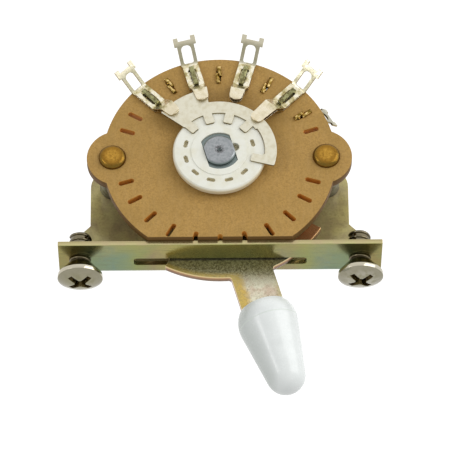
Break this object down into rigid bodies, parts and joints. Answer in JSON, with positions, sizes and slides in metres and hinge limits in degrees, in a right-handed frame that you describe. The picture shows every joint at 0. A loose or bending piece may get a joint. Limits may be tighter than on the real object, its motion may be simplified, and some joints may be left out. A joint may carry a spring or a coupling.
{
  "type": "rotary lever selector switch",
  "caption": "Open-frame lever switch for a guitar's pickups: a notched steel lever turns a plastic rotor in a laminate wafer ringed by sheet contacts.",
  "frame": {"origin": "on the outer face of the mounting strip, midway between the two screws", "axes": "+Z out of the strip towards the knob, +X along the strip towards the right-hand screw as seen from the wafer's side, -Y towards someone who looks at the wafer"},
  "size_m": [0.048, 0.0135, 0.0568],
  "materials": {
    "zinc_frame": "yellow-green zinc chromate, semi-gloss",
    "zinc_lever": "yellow zinc chromate, semi-gloss",
    "nickel_screw": "nickel plate",
    "steel": "turned, dull",
    "spring_steel": "spring temper, oiled",
    "knob_plastic": "moulded, gloss",
    "rotor_plastic": "moulded, satin",
    "laminate": "punched paper laminate, tan brown",
    "rivet_brass": "formed, semi-gloss",
    "contact_silver": "silver plate on brass sheet",
    "blade_silver": "silver plate on brass sheet"
  },
  "bodies": {
    "switch_frame": {"frame": "zinc_frame", "mounting_screw_left": "nickel_screw", "mounting_screw_right": "nickel_screw", "pivot_bushing": "rivet_brass", "detent_spring": "spring_steel", "wafer": "laminate", "wafer_rivet_left": "rivet_brass", "wafer_rivet_right": "rivet_brass", "wafer_spacer_left": "steel", "wafer_spacer_right": "steel", "front_lug_staples": "rivet_brass", "rear_lug_staples": "rivet_brass", "front_lug_1": "contact_silver", "front_clip_1": "contact_silver", "front_lug_2": "contact_silver", "front_clip_2": "contact_silver", "front_lug_3": "contact_silver", "front_clip_3": "contact_silver", "front_lug_4": "contact_silver", "front_clip_4": "contact_silver", "rear_lug_1": "contact_silver", "rear_clip_1": "contact_silver", "rear_lug_2": "contact_silver", "rear_clip_2": "contact_silver", "rear_lug_3": "contact_silver", "rear_clip_3": "contact_silver", "rear_lug_4": "contact_silver", "rear_clip_4": "contact_silver"},
    "lever_and_rotor": {"lever": "zinc_lever", "knob": "knob_plastic", "shaft": "steel", "rotor": "rotor_plastic", "rotor_rear_disc": "rotor_plastic", "front_blade": "blade_silver", "rear_blade": "blade_silver", "thrust_washer": "steel", "retaining_ring": "spring_steel"}
  },
  "joints": [
    {"name": "lever_swing", "type": "hinge", "parent": "switch_frame", "child": "lever_and_rotor", "pos_m": [0, 0, -0.0145], "axis": [0, 1, 0], "range_deg": [0, 31], "deforming": ["detent_spring"]}
  ]
}
